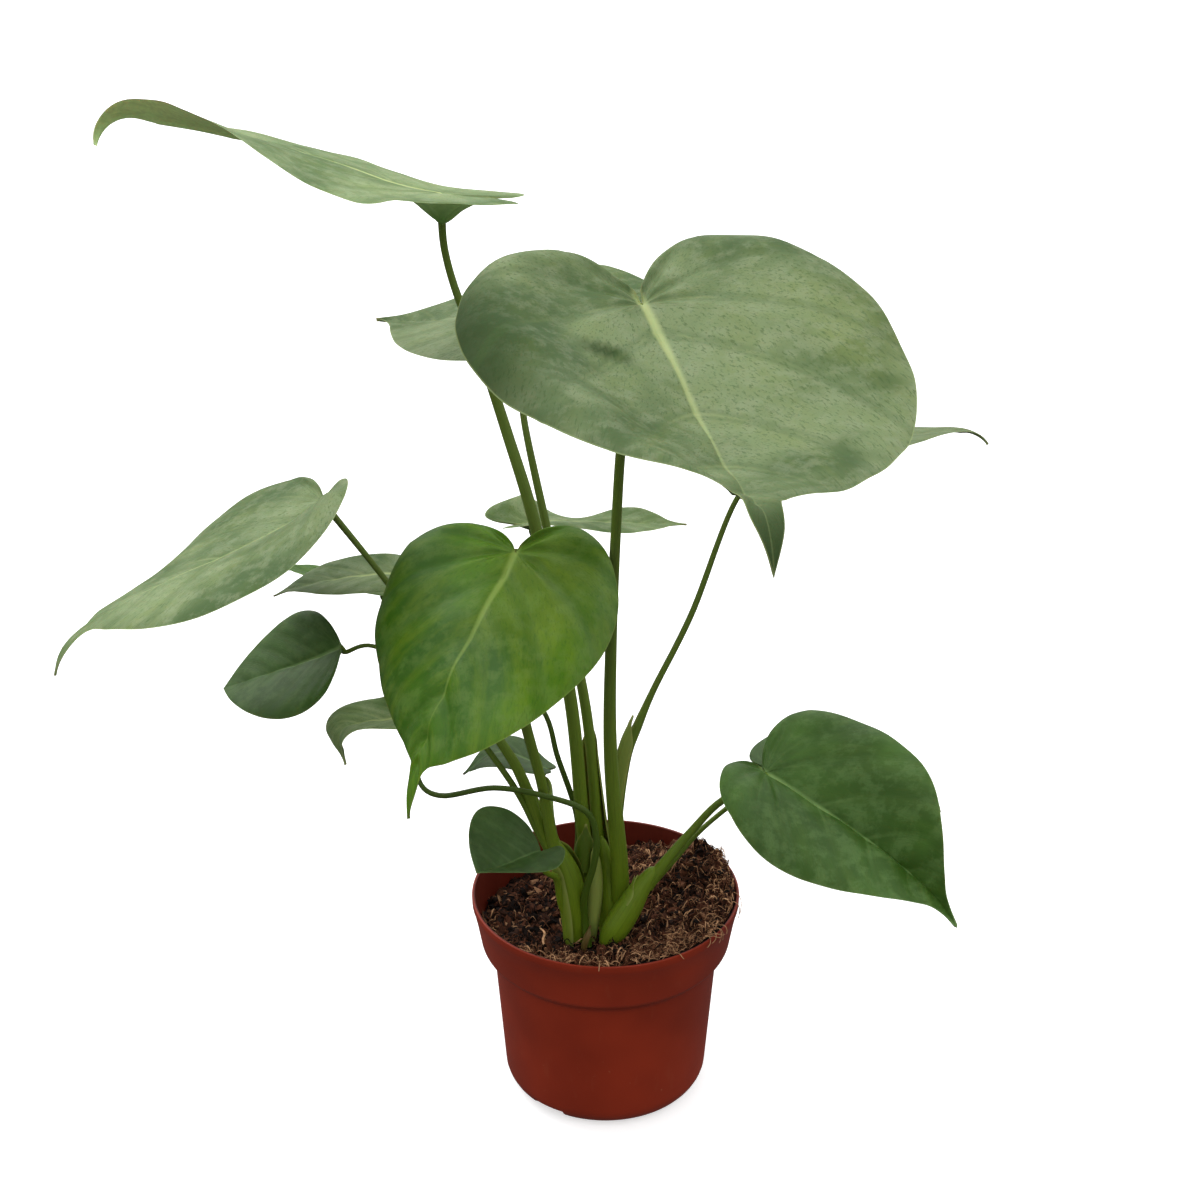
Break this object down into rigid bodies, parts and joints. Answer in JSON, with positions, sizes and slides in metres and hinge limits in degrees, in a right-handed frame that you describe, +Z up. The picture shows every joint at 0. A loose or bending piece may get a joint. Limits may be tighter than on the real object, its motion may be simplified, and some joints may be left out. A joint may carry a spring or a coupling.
{
  "type": "potted heart-leaved climbing aroid",
  "caption": "Young climbing aroid house plant: heart-shaped blades with drip tips on long stalks, rising in leafy stems from potting mix in a collared round nursery pot.",
  "frame": {"origin": "centre of the pot's foot, on the surface that it stands on", "axes": "+Z up along the pot's axis, -Y towards the side that the largest leaves lean over, +X to the right seen from there"},
  "size_m": [0.3773, 0.3811, 0.4514],
  "materials": {
    "pot": "satin moulded terracotta-brown polypropylene",
    "potting_mix": "damp fibrous coir and bark",
    "stem": "smooth satin green",
    "leaf_mature": "leathery grey-green with a soft sheen",
    "leaf_fresh": "fresh saturated green with a soft sheen",
    "leaf_deep": "deep green with a soft sheen"
  },
  "bodies": {
    "root": {"pot": "pot", "soil": "potting_mix", "stem_left": "stem", "stem_middle": "stem", "stem_right": "stem", "leaf_large": "leaf_mature", "leaf_top": "leaf_mature", "leaf_back_left": "leaf_mature", "leaf_back_right": "leaf_mature", "leaf_back_middle": "leaf_mature", "leaf_left": "leaf_mature", "leaf_left_pale": "leaf_mature", "leaf_left_low": "leaf_mature", "leaf_front": "leaf_fresh", "leaf_left_rear": "leaf_fresh", "leaf_left_round": "leaf_deep", "leaf_centre_small": "leaf_deep", "leaf_over_rim": "leaf_deep", "leaf_right": "leaf_deep", "leaf_right_rear": "leaf_deep"}
  },
  "joints": []
}
